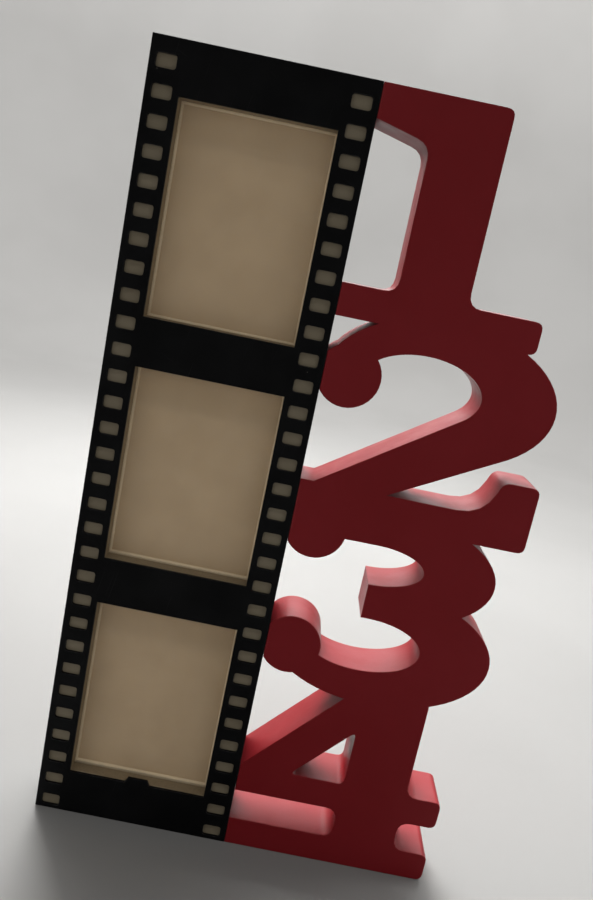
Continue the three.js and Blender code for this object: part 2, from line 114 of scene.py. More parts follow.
@dataclass(frozen=True)
class Grain:
    """Cloudy noise.

    Attributes:
        size_mm: The size of its blots, or their size along each axis.
        detail: How many finer octaves are added.
        turn_deg: Its turn about X, Y and Z.
    """

    size_mm: float | Place
    detail: float
    turn_deg: Place = (0, 0, 0)


@dataclass(frozen=True)
class Blots:
    """Blots that are cut from noise by a smooth step.

    Attributes:
        grain: The noise.
        low: The noise at which the step starts.
        high: The noise at which it ends.
        first: The result at and before the start.
        last: The result at and after the end.
    """

    grain: Grain
    low: float
    high: float
    first: float = 0.0
    last: float = 1.0


@dataclass(frozen=True)
class Specks:
    """Small round specks in some of the cells of a random pattern.

    Attributes:
        spacing_mm: The distance between neighbouring cells.
        radius: A speck's radius as a share of the spacing.
        share: The share of the cells that hold a speck.
        strength: The result inside a speck.
    """

    spacing_mm: float
    radius: float
    share: float
    strength: float


@dataclass(frozen=True)
class Relief:
    """How a pattern raises the surface.

    Attributes:
        depth_mm: How high one stands above nought.
        strength: How strongly the light follows it.
    """

    depth_mm: float
    strength: float


class Graph:
    """A new material's node tree, with one method for each kind of node that the finishes use."""

    def __init__(self, name: str) -> None:
        """Makes the material.

        Args:
            name: The material's name.
        """
        self.material = bpy.data.materials.new(name)
        self.material.use_nodes = True
        self.tree = self.material.node_tree
        self.shader = self.tree.nodes["Principled BSDF"]
        self.coordinates = self.tree.nodes.new("ShaderNodeTexCoord")

    def settle(self, **sockets: float | Colour | Socket) -> None:
        """Sets or links the shader's sockets.

        Args:
            sockets: Each socket's name in lower case with underscores, and its number, colour or socket.
        """
        names = {socket.name.lower().replace(" ", "_"): socket for socket in self.shader.inputs}
        for name, value in sockets.items():
            self.give(names[name], value)

    def give(self, socket: Socket, value: float | Colour | Socket) -> None:
        """Links a socket to another one, or sets it to a number or a colour.

        Args:
            socket: The socket that takes the value.
            value: A socket, a number, or a colour or vector of three numbers.
        """
        if isinstance(value, bpy.types.NodeSocket):
            self.tree.links.new(value, socket)
        elif isinstance(value, tuple) and socket.type == "RGBA":
            socket.default_value = (*value, 1.0)
        else:
            socket.default_value = value

    def place(self, size_mm: Place, turn_deg: Place = (0, 0, 0)) -> Socket:
        """Object coordinates, turned and then divided so that one unit is the given size along each axis.

        Args:
            size_mm: The size of one unit of the pattern along X, Y and Z.
            turn_deg: The pattern's turn about X, Y and Z.

        Returns:
            The vector output.
        """
        mapping = self.tree.nodes.new("ShaderNodeMapping")
        mapping.vector_type = "TEXTURE"
        mapping.inputs["Scale"].default_value = [size * MM for size in size_mm]
        mapping.inputs["Rotation"].default_value = [math.radians(turn) for turn in turn_deg]
        self.tree.links.new(self.coordinates.outputs["Object"], mapping.inputs["Vector"])
        return mapping.outputs["Vector"]

    def noise(self, grain: Grain) -> Socket:
        """Cloudy noise.

        Args:
            grain: The noise's size, detail and turn.

        Returns:
            A value round one half.
        """
        size = grain.size_mm
        sizes = size if isinstance(size, tuple) else (size, size, size)
        noise = self.tree.nodes.new("ShaderNodeTexNoise")
        self.give(noise.inputs["Vector"], self.place(sizes, grain.turn_deg))
        self.give(noise.inputs["Scale"], 1.0)
        self.give(noise.inputs["Detail"], grain.detail)
        return noise.outputs["Fac"]

    def blots(self, blots: Blots) -> Socket:
        """Blots cut from noise."""
        return self.between(self.noise(blots.grain), blots.low, blots.high, blots.first, blots.last)

    def specks(self, specks: Specks) -> Socket:
        """Small round specks in some of the cells of a random pattern.

        Args:
            specks: Their spacing, size, share and strength.

        Returns:
            Their strength inside a speck, and nought elsewhere.
        """
        spacing = specks.spacing_mm
        cells = self.tree.nodes.new("ShaderNodeTexVoronoi")
        self.give(cells.inputs["Vector"], self.place((spacing, spacing, spacing)))
        self.give(cells.inputs["Scale"], 1.0)
        near = self.between(cells.outputs["Distance"], specks.radius, SPECK_CORE * specks.radius)
        split = self.tree.nodes.new("ShaderNodeSeparateColor")
        self.give(split.inputs["Color"], cells.outputs["Color"])
        chosen = self.between(split.outputs["Red"], specks.share, specks.share - SPECK_FADE)
        return self.product(self.product(near, chosen), specks.strength)

    def between(
        self, value: Socket, low: float, high: float, first: float = 0.0, last: float = 1.0
    ) -> Socket:
        """A smooth step from one value to another.

        Args:
            value: What is read.
            low: Where the step starts.
            high: Where the step ends.
            first: The result at and before the start.
            last: The result at and after the end.

        Returns:
            The stepped value.
        """
        step = self.tree.nodes.new("ShaderNodeMapRange")
        step.interpolation_type = "SMOOTHSTEP"
        names = ("Value", "From Min", "From Max", "To Min", "To Max")
        for name, given in zip(names, (value, low, high, first, last)):
            self.give(step.inputs[name], given)
        return step.outputs["Result"]

    def _math(self, operation: str, first: float | Socket, second: float | Socket) -> Socket:
        """One arithmetic node with two inputs.

        Args:
            operation: The node's operation.
            first: Its first input.
            second: Its second input.

        Returns:
            Its result.
        """
        node = self.tree.nodes.new("ShaderNodeMath")
        node.operation = operation
        self.give(node.inputs[0], first)
        self.give(node.inputs[1], second)
        return node.outputs["Value"]

    def product(self, first: float | Socket, second: float | Socket) -> Socket:
        """The two values multiplied."""
        return self._math("MULTIPLY", first, second)

    def total(self, first: float | Socket, second: float | Socket) -> Socket:
        """The two values added."""
        return self._math("ADD", first, second)

    def greater(self, first: float | Socket, second: float | Socket) -> Socket:
        """The greater of the two values."""
        return self._math("MAXIMUM", first, second)

    def mixed(self, share: Socket, under: Colour | Socket, over: Colour | Socket) -> Socket:
        """One colour over another.

        Args:
            share: How much of the upper colour shows.
            under: The lower colour.
            over: The upper colour.

        Returns:
            The mixed colour.
        """
        mix = self.tree.nodes.new("ShaderNodeMix")
        mix.data_type = "RGBA"
        inputs = {socket.identifier: socket for socket in mix.inputs}
        outputs = {socket.identifier: socket for socket in mix.outputs}
        self.give(inputs["Factor_Float"], share)
        self.give(inputs["A_Color"], under)
        self.give(inputs["B_Color"], over)
        return outputs["Result_Color"]

    def wear(self) -> Socket:
        """How near a point is to a rounded edge.

        Returns:
            One on the edge, and nought away from it.
        """
        attribute = self.tree.nodes.new("ShaderNodeAttribute")
        attribute.attribute_name = WEAR
        return attribute.outputs["Fac"]

    def upward(self) -> Socket:
        """How far a surface faces up.

        Returns:
            One where it is level, and nought where it is upright.
        """
        split = self.tree.nodes.new("ShaderNodeSeparateXYZ")
        self.give(split.inputs["Vector"], self.coordinates.outputs["Normal"])
        return self.between(split.outputs["Z"], LEVEL_FROM, LEVEL_AT)

    def bumped(self, height: Socket, relief: Relief) -> None:
        """Raises the surface by a pattern.

        Args:
            height: The pattern, from nought to one.
            relief: How far it is raised.
        """
        bump = self.tree.nodes.new("ShaderNodeBump")
        self.give(bump.inputs["Strength"], relief.strength)
        self.give(bump.inputs["Distance"], relief.depth_mm * MM)
        self.give(bump.inputs["Height"], height)
        self.settle(normal=bump.outputs["Normal"])


# Finishes


@dataclass(frozen=True)
class Finish:
    """What every finish has: a name, and a material that is made once.

    Attributes:
        name: The material's name.
    """

    name: str

    def material(self) -> bpy.types.Material:
        """The finish's material, made at the first call."""
        found = bpy.data.materials.get(self.name)
        return found or self.mixed_up(Graph(self.name))

    def mixed_up(self, graph: Graph) -> bpy.types.Material:
        """Fills in a new material's graph.

        Args:
            graph: The graph of the new material.

        Returns:
            The graph's material.
        """
        raise NotImplementedError


@dataclass(frozen=True)
class SatinPaint(Finish):
    """Sprayed satin paint on board: orange peel, uneven gloss, and tones laid on its ledges and edges.

    Attributes:
        colour: The fresh paint.
        faded: The paint where it has lightened.
        rubbed: What shows on the edges: rubbed paint, and in the cream paint also a painted highlight.
        dust: The colour laid on level faces: dust, and in the cream paint a dark painted shade.
        roughness: The paint's middle roughness.
        wear_and_highlight: How much of the edges takes that colour, from nought to one.
        dust_and_shade: How much of that colour lies on level faces, from nought to one.
        sheen: The shader's specular level.
        clouds: Where the paint is faded.
        patches: Where an edge takes that colour.
        film: How that colour varies on a level face.
        lint: The scattered specks of lint.
        gloss: How the roughness varies round its middle.
        dulling: The roughness that dust and rubbing add.
        peel: The waves of the orange peel.
        grit: The finer grit on them.
        grit_share: The grit's height beside the waves.
        relief: How far both stand up.
    """

    colour: Colour
    faded: Colour
    rubbed: Colour
    dust: Colour = (0.42, 0.38, 0.34)
    roughness: float = 0.42
    wear_and_highlight: float = 0.5
    dust_and_shade: float = 0.1
    sheen: float = 0.5
    clouds: Blots = Blots(Grain(38, 4), 0.3, 0.72)
    patches: Blots = Blots(Grain(8, 6), 0.42, 0.72)
    film: Blots = Blots(Grain(0.7, 3), 0.4, 0.75, 0.6, 1.0)
    lint: Specks = Specks(2.6, 0.1, 0.12, 0.03)
    gloss: Blots = Blots(Grain(14, 4), 0.3, 0.7, -0.06, 0.08)
    dulling: float = 0.3
    peel: Grain = Grain(1.5, 1)
    grit: Grain = Grain(0.35, 2)
    grit_share: float = 0.2
    relief: Relief = Relief(0.03, 0.6)

    def mixed_up(self, graph: Graph) -> bpy.types.Material:
        """Clouds of faded paint, an edge tone broken up by noise, and the level-face tone where a face looks
        up.

        Args:
            graph: The graph of the new material.

        Returns:
            The graph's material.
        """
        paint = graph.mixed(graph.blots(self.clouds), self.colour, self.faded)
        # edges take the rubbed colour: worn paint, and on the cream window walls a painted highlight
        patches = graph.product(graph.blots(self.patches), self.wear_and_highlight)
        rubbed = graph.product(graph.wear(), patches)
        paint = graph.mixed(rubbed, paint, self.rubbed)
        # level faces take the dust colour: dust, and in the cream paint a dark painted shade on the window
        # ledges
        film = graph.product(graph.blots(self.film), self.dust_and_shade)
        dust = graph.greater(graph.product(graph.upward(), film), graph.specks(self.lint))
        paint = graph.mixed(dust, paint, self.dust)
        gloss = graph.total(graph.blots(self.gloss), self.roughness)
        dull = graph.total(gloss, graph.product(graph.greater(dust, rubbed), self.dulling))
        grit = graph.product(graph.noise(self.grit), self.grit_share)
        graph.bumped(graph.total(graph.noise(self.peel), grit), self.relief)
        graph.settle(base_color=paint, roughness=dull, specular_ior_level=self.sheen)
        return graph.material


@dataclass(frozen=True)
class FilmPlastic(Finish):
    """A satin black sheet with fine hairline scratches and a few specks of dust.

    Attributes:
        colour: The sheet.
        hazed: The sheet where it is hazed by handling.
        scratch: A scratch.
        dust: A speck of dust.
        rubbed: What shows along the cut edges.
        haze: Where the sheet is hazed.
        steep: The steep scratches.
        slanted: The slanted scratches.
        edges: Where a cut edge is rubbed.
        specks: The specks of dust.
        gloss: How the roughness varies.
        dulling: The roughness that a scratch adds.
        grain: The fine grain of the surface.
        ripple: The slow waves of the sheet.
        ripple_share: The waves' height beside the grain.
        relief: How far both stand up.
        sheen: The shader's specular level.
    """

    colour: Colour = (0.0028, 0.0029, 0.0033)
    hazed: Colour = (0.0056, 0.0058, 0.0064)
    scratch: Colour = (0.03, 0.03, 0.032)
    dust: Colour = (0.3, 0.28, 0.25)
    rubbed: Colour = (0.03, 0.03, 0.03)
    haze: Blots = Blots(Grain(22, 4), 0.35, 0.7)
    steep: Blots = Blots(Grain((0.25, 9, 26), 1, (0, 11, 0)), 0.72, 0.8, 0.0, 0.5)
    slanted: Blots = Blots(Grain((0.2, 9, 15), 1, (0, -63, 0)), 0.74, 0.82, 0.0, 0.5)
    edges: Blots = Blots(Grain(1.6, 4), 0.42, 0.65, 0.1, 0.7)
    specks: Specks = Specks(3.4, 0.055, 0.16, 0.55)
    gloss: Blots = Blots(Grain(9, 5), 0.3, 0.7, 0.34, 0.5)
    dulling: float = 0.2
    grain: Grain = Grain(0.28, 2)
    ripple: Grain = Grain(6, 1)
    ripple_share: float = 1.5
    relief: Relief = Relief(0.012, 0.5)
    sheen: float = 0.07

    def mixed_up(self, graph: Graph) -> bpy.types.Material:
        """Haze, two families of long thin scratches, dust specks and lighter cut edges.

        Args:
            graph: The graph of the new material.

        Returns:
            The graph's material.
        """
        sheet = graph.mixed(graph.blots(self.haze), self.colour, self.hazed)
        scratches = graph.greater(graph.blots(self.steep), graph.blots(self.slanted))
        sheet = graph.mixed(scratches, sheet, self.scratch)
        rubbed = graph.product(graph.wear(), graph.blots(self.edges))
        sheet = graph.mixed(rubbed, sheet, self.rubbed)
        sheet = graph.mixed(graph.specks(self.specks), sheet, self.dust)
        dull = graph.total(graph.blots(self.gloss), graph.product(scratches, self.dulling))
        ripple = graph.product(graph.noise(self.ripple), self.ripple_share)
        graph.bumped(graph.total(graph.noise(self.grain), ripple), self.relief)
        graph.settle(base_color=sheet, roughness=dull, specular_ior_level=self.sheen)
        return graph.material


@dataclass(frozen=True)
class CardPaper(Finish):
    """Card or mat board: mottled paper with short fibres and a soft tooth.

    Attributes:
        colour: The paper.
        aged: The paper where it has yellowed.
        fibre: The darker fibres.
        fibres: How strongly the fibres show.
        relief: How far the tooth stands up.
        clouds: Where the paper has yellowed.
        lying: The lying fibres.
        standing: The standing fibres.
        flecks: The flecks between them.
        tooth: The soft tooth of the paper.
        roughness: The paper's roughness.
        sheen: The shader's specular level.
    """

    colour: Colour
    aged: Colour
    fibre: Colour
    fibres: float = 0.35
    relief: Relief = Relief(0.02, 0.7)
    clouds: Blots = Blots(Grain(19, 5), 0.32, 0.7)
    lying: Blots = Blots(Grain((1.9, 0.2, 0.22), 3, (0, 24, 0)), 0.56, 0.72)
    standing: Blots = Blots(Grain((0.24, 0.2, 1.7), 3, (0, 17, 0)), 0.56, 0.72)
    flecks: Specks = Specks(1.9, 0.09, 0.1, 0.8)
    tooth: Grain = Grain(0.3, 3)
    roughness: float = 0.86
    sheen: float = 0.25

    def mixed_up(self, graph: Graph) -> bpy.types.Material:
        """Clouds of aged paper under two families of short fibres and a few flecks.

        Args:
            graph: The graph of the new material.

        Returns:
            The graph's material.
        """
        paper = graph.mixed(graph.blots(self.clouds), self.colour, self.aged)
        crossed = graph.greater(graph.blots(self.lying), graph.blots(self.standing))
        fibres = graph.product(crossed, self.fibres)
        flecks = graph.product(graph.specks(self.flecks), self.fibres)
        paper = graph.mixed(graph.greater(fibres, flecks), paper, self.fibre)
        graph.bumped(graph.total(graph.noise(self.tooth), fibres), self.relief)
        graph.settle(base_color=paper, roughness=self.roughness, specular_ior_level=self.sheen)
        return graph.material


@dataclass(frozen=True)
class Hardboard(Finish):
    """Pressed brown fibre board, smooth side out.

    Attributes:
        colour: The board.
        light: Its lighter fibres.
        dark: Its darker fibres and flecks.
        clouds: Where the board is lighter.
        fibres: The matted fibres, before they are turned.
        turns_deg: The three ways that they lie, as turns about X, Y and Z.
        flecks: The dark flecks.
        edge_share: How much lighter a rubbed edge is.
        tooth: The fine tooth of the surface.
        relief: How far it stands up.
        gloss: How the roughness varies.
        sheen: The shader's specular level.
    """

    colour: Colour = (0.095, 0.043, 0.018)
    light: Colour = (0.15, 0.075, 0.034)
    dark: Colour = (0.035, 0.015, 0.007)
    clouds: Blots = Blots(Grain(7, 5), 0.3, 0.7)
    fibres: Blots = Blots(Grain((0.3, 0.3, 3.2), 3), 0.54, 0.74, 0.0, 0.6)
    turns_deg: tuple[Place, Place, Place] = ((0, 8, 0), (0, 67, 0), (0, 128, 0))
    flecks: Specks = Specks(1.5, 0.16, 0.22, 0.7)
    edge_share: float = 0.6
    tooth: Grain = Grain(0.4, 3)
    relief: Relief = Relief(0.03, 0.6)
    gloss: Blots = Blots(Grain(11, 3), 0.3, 0.7, 0.46, 0.64)
    sheen: float = 0.35

    def mixed_up(self, graph: Graph) -> bpy.types.Material:
        """Matted fibres in three directions, dark flecks and lighter rubbed edges.

        Args:
            graph: The graph of the new material.

        Returns:
            The graph's material.
        """
        board = graph.mixed(graph.blots(self.clouds), self.colour, self.light)
        grains = [replace(self.fibres.grain, turn_deg=turn) for turn in self.turns_deg]
        steep, slanted, crossing = [graph.blots(replace(self.fibres, grain=grain)) for grain in grains]
        board = graph.mixed(graph.greater(steep, slanted), board, self.dark)
        board = graph.mixed(crossing, board, self.light)
        board = graph.mixed(graph.specks(self.flecks), board, self.dark)
        board = graph.mixed(graph.product(graph.wear(), self.edge_share), board, self.light)
        graph.bumped(graph.total(steep, graph.noise(self.tooth)), self.relief)
        graph.settle(base_color=board, roughness=graph.blots(self.gloss), specular_ior_level=self.sheen)
        return graph.material


@dataclass(frozen=True)
class ZincSteel(Finish):
    """Zinc-plated sheet steel: fine rolling lines, faint bluish and yellowish clouds, dulled spots.

    Attributes:
        cool: The bluish plating.
        warm: The yellowish plating.
        dulled: White bloom on the plating.
        clouds: Where the plating is yellowish.
        bloom: Where it has bloomed.
        lines: The rolling lines, and the roughness that they give.
        dulling: The roughness that bloom adds.
        pits: The fine pits of the surface.
        relief: How far lines and pits stand up.
    """

    cool: Colour = (0.58, 0.6, 0.62)
    warm: Colour = (0.64, 0.6, 0.5)
    dulled: Colour = (0.42, 0.41, 0.39)
    clouds: Blots = Blots(Grain(5, 3), 0.35, 0.65)
    bloom: Blots = Blots(Grain(1.8, 5), 0.58, 0.75, 0.0, 0.6)
    lines: Blots = Blots(Grain((0.12, 0.5, 9), 2), 0.3, 0.7, 0.24, 0.4)
    dulling: float = 0.25
    pits: Grain = Grain(0.6, 2)
    relief: Relief = Relief(0.006, 0.6)

    def mixed_up(self, graph: Graph) -> bpy.types.Material:
        """Clouds of two platings, bloom spots, and lines along the length that also vary the gloss.

        Args:
            graph: The graph of the new material.

        Returns:
            The graph's material.
        """
        plate = graph.mixed(graph.blots(self.clouds), self.cool, self.warm)
        bloom = graph.blots(self.bloom)
        plate = graph.mixed(bloom, plate, self.dulled)
        dull = graph.total(graph.blots(self.lines), graph.product(bloom, self.dulling))
        graph.bumped(graph.total(graph.noise(self.lines.grain), graph.noise(self.pits)), self.relief)
        graph.settle(base_color=plate, roughness=dull, metallic=1.0)
        return graph.material


@dataclass(frozen=True)
class ClearSheet(Finish):
    """Thin clear acrylic, wiped but not spotless.

    Attributes:
        tint: The sheet's faint tint.
        cover: How much of what lies behind it the sheet hides.
        wiping: The wiping marks, as roughness.
        index: How strongly it bends light.
    """

    tint: Colour = (0.86, 0.9, 0.9)
    cover: float = 0.07
    wiping: Blots = Blots(Grain((5, 5, 18), 4, (0, 35, 0)), 0.35, 0.7, 0.04, 0.14)
    index: float = 1.49

    def mixed_up(self, graph: Graph) -> bpy.types.Material:
        """A faint tint, and wiping marks that only change the gloss.

        Args:
            graph: The graph of the new material.

        Returns:
            The graph's material.
        """
        wiped = graph.blots(self.wiping)
        graph.settle(base_color=self.tint, roughness=wiped, alpha=self.cover, ior=self.index)
        graph.material.surface_render_method = "BLENDED"
        return graph.material


@dataclass(frozen=True)
class Beech(Finish):
    """Bare turned beech: fine grain along X with short dark flecks.

    Attributes:
        colour: The wood.
        late: The darker late wood.
        fleck: The flecks.
        grain: Where the late wood lies.
        flecks: Where the flecks lie.
        relief: How far the grain stands up.
        roughness: The wood's roughness.
    """

    colour: Colour = (0.52, 0.33, 0.17)
    late: Colour = (0.4, 0.23, 0.11)
    fleck: Colour = (0.22, 0.11, 0.05)
    grain: Blots = Blots(Grain((30, 1.1, 1.1), 4), 0.35, 0.68)
    flecks: Blots = Blots(Grain((2.6, 0.25, 0.25), 2), 0.62, 0.74, 0.0, 0.8)
    relief: Relief = Relief(0.02, 0.5)
    roughness: float = 0.7

    def mixed_up(self, graph: Graph) -> bpy.types.Material:
        """Long soft grain and short flecks along the dowel.

        Args:
            graph: The graph of the new material.

        Returns:
            The graph's material.
        """
        grain = graph.blots(self.grain)
        wood = graph.mixed(grain, self.colour, self.late)
        wood = graph.mixed(graph.blots(self.flecks), wood, self.fleck)
        graph.bumped(grain, self.relief)
        graph.settle(base_color=wood, roughness=self.roughness)
        return graph.material


@dataclass(frozen=True)
class StudioPaper(Finish):
    """The pale paper of the studio floor.

    Attributes:
        colour: The paper.
        shade: The paper where it is a little darker.
        clouds: Where it is darker.
        roughness: The paper's roughness.
        sheen: The shader's specular level.
    """

    colour: Colour = (0.22, 0.217, 0.211)
    shade: Colour = (0.208, 0.205, 0.199)
    clouds: Blots = Blots(Grain(260, 3), 0.35, 0.65)
    roughness: float = 0.9
    sheen: float = 0.2

    def mixed_up(self, graph: Graph) -> bpy.types.Material:
        """Faint large clouds on a matt sheet.

        Args:
            graph: The graph of the new material.

        Returns:
            The graph's material.
        """
        paper = graph.mixed(graph.blots(self.clouds), self.colour, self.shade)
        graph.settle(base_color=paper, roughness=self.roughness, specular_ior_level=self.sheen)
        return graph.material


RED_PAINT = SatinPaint(
    "red_satin_paint",
    colour=(0.192, 0.0075, 0.011),
    faded=(0.208, 0.01, 0.0145),
    rubbed=(0.38, 0.085, 0.075),
    roughness=0.38,
    wear_and_highlight=0.3,
    dust_and_shade=0.02,
    sheen=0.17,
)
BLACK_PAINT = SatinPaint(
    "black_satin_paint",
    colour=(0.007, 0.007, 0.0075),
    faded=(0.011, 0.011, 0.0115),
    rubbed=(0.1, 0.075, 0.05),
    roughness=0.5,
    wear_and_highlight=0.3,
    dust_and_shade=0.02,
    sheen=0.16,
)
CREAM_PAINT = SatinPaint(
    "cream_satin_paint",
    colour=(0.27, 0.205, 0.125),
    faded=(0.305, 0.24, 0.15),
    # a light edge colour: edge wear, and a painted highlight along the window walls' edges
    rubbed=(0.45, 0.38, 0.28),
    # a dark colour on level faces: painted shade on the window ledges, not dust
    dust=(0.08, 0.062, 0.036),
    roughness=0.6,
    wear_and_highlight=0.8,
    dust_and_shade=0.42,
    sheen=0.3,
)
GREY_PRIMER = SatinPaint(
    "grey_primer",
    colour=(0.2, 0.167, 0.112),
    faded=(0.23, 0.195, 0.136),
    rubbed=(0.25, 0.22, 0.17),
    roughness=0.7,
)
FILM_PLASTIC = FilmPlastic("black_film_plastic")
PHOTO_CARD = CardPaper(
    "blank_photo_card",
    colour=(0.65, 0.455, 0.245),
    aged=(0.6, 0.415, 0.215),
    fibre=(0.5, 0.34, 0.18),
    fibres=0.08,
    relief=Relief(0.0015, 0.7),
)
MAT_FACE = CardPaper(
    "mat_board_face", colour=(0.85, 0.67, 0.42), aged=(0.81, 0.63, 0.39), fibre=(0.66, 0.5, 0.3)
)
MAT_CORE = CardPaper(
    "mat_board_core", colour=(0.86, 0.69, 0.44), aged=(0.82, 0.65, 0.41), fibre=(0.68, 0.52, 0.32)
)
HARDBOARD = Hardboard("brown_hardboard")
ZINC_STEEL = ZincSteel("zinc_plated_steel")
CLEAR_SHEET = ClearSheet("clear_acrylic")
BEECH = Beech("bare_beech")
STUDIO_PAPER = StudioPaper("studio_paper")


# Meshes


@dataclass(frozen=True)
class Outline:
    """The near end of a CAD node that is a prism, as closed loops in its plane.

    Attributes:
        axis: The axis that the node is a prism along.
        points: The loops' corners, a row (u, v) each.
        rim: The corner numbers of the directed rim edges, with the material on their left.
        inward: For each corner, the offset that takes both of its rim edges one unit into the material.
        near: The depth of this end.
        far: The depth of the other end.
    """

    axis: Axis
    points: np.ndarray
    rim: np.ndarray
    inward: np.ndarray
    near: float
    far: float

    @classmethod
    def of_node(cls, node: str, axis: Axis) -> "Outline":
        """Reads the near end of a CAD node.

        An edge is on the rim if no triangle of the end runs along it the other way. The end of a very short
        edge moves to its start. The inward offset of a corner is twice the sum of its two edges' left
        normals over that sum squared.

        Args:
            node: The CAD node's name.
            axis: The axis that it is a prism along.

        Returns:
            The outline.
        """
        corners, triangles = merged_mesh(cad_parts[node].data)
        depth = corners[:, axis.value[2]]
        plane = corners[:, list(axis.value[:2])]
        ends = triangles[np.all(depth[triangles] < depth.min() + WELD, axis=1)]
        edges = ends[:, [0, 1, 1, 2, 2, 0]].reshape(-1, 2)
        forwards = edges[:, 0] * len(corners) + edges[:, 1]
        backwards = edges[:, 1] * len(corners) + edges[:, 0]
        rim = edges[~np.isin(forwards, backwards)]
        short = np.linalg.norm(plane[rim[:, 1]] - plane[rim[:, 0]], axis=1) < SHORT_EDGE
        moved = np.arange(len(corners))
        moved[rim[short, 1]] = rim[short, 0]
        used, numbers = np.unique(moved[moved][rim[~short]], return_inverse=True)
        rim = numbers.reshape(-1, 2)
        points = plane[used]
        run = points[rim[:, 1]] - points[rim[:, 0]]
        run /= np.linalg.norm(run, axis=1, keepdims=True)
        left = np.stack([-run[:, 1], run[:, 0]], axis=1)
        both = np.zeros_like(points)
        np.add.at(both, rim[:, 0], left)
        np.add.at(both, rim[:, 1], left)
        length = np.linalg.norm(both, axis=1, keepdims=True)
        inward = 2 * both / np.maximum(length**2, 2 * length / MITER_LIMIT)
        return cls(axis, points, rim, inward, float(depth.min()), float(depth.max()))

    def filled(self, inset: float) -> np.ndarray:
        """Fills the loops with triangles after moving them into the material.

        A triangle is kept if the rim, seen from the triangle's middle, goes round it once in all.

        Args:
            inset: How far the loops move.

        Returns:
            The corner numbers of the triangles, anticlockwise.
        """
        moved = (self.points + inset * self.inward) / MM
        flat = [Vector(point) for point in moved.tolist()]
        filling = delaunay_2d_cdt(flat, self.rim.tolist(), [], INSIDE_THE_RIM, FILL_TOLERANCE)
        origin = np.array([numbers[0] for numbers in filling[3]])
        triangles = origin[np.array(filling[2])]
        middle = moved[triangles].mean(axis=1)[:, None]
        start = moved[self.rim[:, 0]] - middle
        stop = moved[self.rim[:, 1]] - middle
        cross = start[..., 0] * stop[..., 1] - start[..., 1] * stop[..., 0]
        turn = np.arctan2(cross, np.sum(start * stop, axis=-1)).sum(axis=1)
        return triangles[turn > math.pi]

    def outer_rim(self) -> np.ndarray:
        """Finds the rim edges on the sides of the outline's bounding rectangle.

        Returns:
            For each rim edge, whether it lies on a side.
        """
        low, high = self.points.min(axis=0), self.points.max(axis=0)
        sides = np.abs(np.stack([self.points - low, self.points - high], axis=1)) < WELD
        return np.any(np.all(sides[self.rim], axis=1), axis=(1, 2))


@dataclass(frozen=True)
class Edge:
    """A rounded edge along the rim of a prism.

    Attributes:
        radius: Its radius.
        band: The width of the flat bands beside it, in which the edge tone ends.
        steps: How many facets make the rounding.
    """

    radius: float
    band: float
    steps: int


@dataclass(frozen=True)
class EdgeProfile:
    """The section of a prism's wall, carried round its rim from the near end to the far end.

    Attributes:
        inset: How far each station lies inside the outline.
        depth: Each station's depth below the near end.
        wear: How much each station is rubbed.
    """

    inset: np.ndarray
    depth: np.ndarray
    wear: np.ndarray

    @classmethod
    def rounded(cls, thickness: float, edge: Edge) -> "EdgeProfile":
        """A wall with both edges rounded.

        At angle a from the wall, a station on the rounding is radius times (1 - cos a) inside the outline
        and radius times (1 - sin a) below the end. A flat band on each side of it ends the wear.

        Args:
            thickness: The prism's thickness.
            edge: Both edges.

        Returns:
            The profile.
        """
        angle = np.linspace(math.pi / 2, 0, edge.steps + 1)
        reach = edge.radius + edge.band
        inset = np.concatenate([[reach], edge.radius * (1 - np.cos(angle)), [0.0]])
        depth = np.concatenate([[0.0], edge.radius * (1 - np.sin(angle)), [reach]])
        wear = np.concatenate([[0.0], np.ones(edge.steps + 1), [0.0]])
        return cls(
            np.concatenate([inset, inset[::-1]]),
            np.concatenate([depth, thickness - depth[::-1]]),
            np.concatenate([wear, wear[::-1]]),
        )

    @classmethod
    def bevelled(cls, thickness: float, width: float, lip: float) -> "EdgeProfile":
        """A wall that slopes outwards from the near end and ends in a thin upright lip.

        Args:
            thickness: The prism's thickness.
            width: How far the slope runs into the material.
            lip: The height of the lip at the far end.

        Returns:
            The profile.
        """
        return cls(np.array([width, 0.0, 0.0]), np.array([0.0, thickness - lip, thickness]), np.zeros(3))


@dataclass
class MeshParts:
    """The arrays of a mesh before it is made.

    Attributes:
        points: The corners.
        faces: Arrays of corner numbers, one for each kind of face.
        kinds: The material slot of each face, in the order of the faces.
        wear: How much each corner is rubbed.
    """

    points: np.ndarray
    faces: list[np.ndarray]
    kinds: np.ndarray
    wear: np.ndarray

    @classmethod
    def plain(cls, points: np.ndarray, faces: list[np.ndarray]) -> "MeshParts":
        """A mesh of one finish that isn't rubbed.

        Args:
            points: The corners.
            faces: Arrays of corner numbers, one for each kind of face.

        Returns:
            The mesh's arrays.
        """
        count = sum(len(group) for group in faces)
        return cls(points, faces, np.zeros(count, int), np.zeros(len(points)))

    def made(self, name: str, finishes: list[Finish]) -> bpy.types.Object:
        """Makes the object, smooth except at sharp corners, and with large faces kept flat.

        Args:
            name: The object's name.
            finishes: The finish of each material slot.

        Returns:
            The object, at the origin.
        """
        mesh = bpy.data.meshes.new(name)
        mesh.from_pydata(self.points.tolist(), [], [face for group in self.faces for face in group.tolist()])
        for finish in finishes:
            mesh.materials.append(finish.material())
        mesh.polygons.foreach_set("material_index", self.kinds.astype(np.int32))
        mesh.polygons.foreach_set("use_smooth", np.ones(len(self.kinds), bool))
        mesh.attributes.new(WEAR, "FLOAT", "POINT").data.foreach_set("value", self.wear.astype(np.float32))
        mesh.set_sharp_from_angle(angle=SMOOTH_BELOW)
        mesh.validate()
        piece = bpy.data.objects.new(name, mesh)
        bpy.context.scene.collection.objects.link(piece)
        flat = piece.modifiers.new("large faces stay flat", "WEIGHTED_NORMAL")
        flat.keep_sharp = True
        return piece


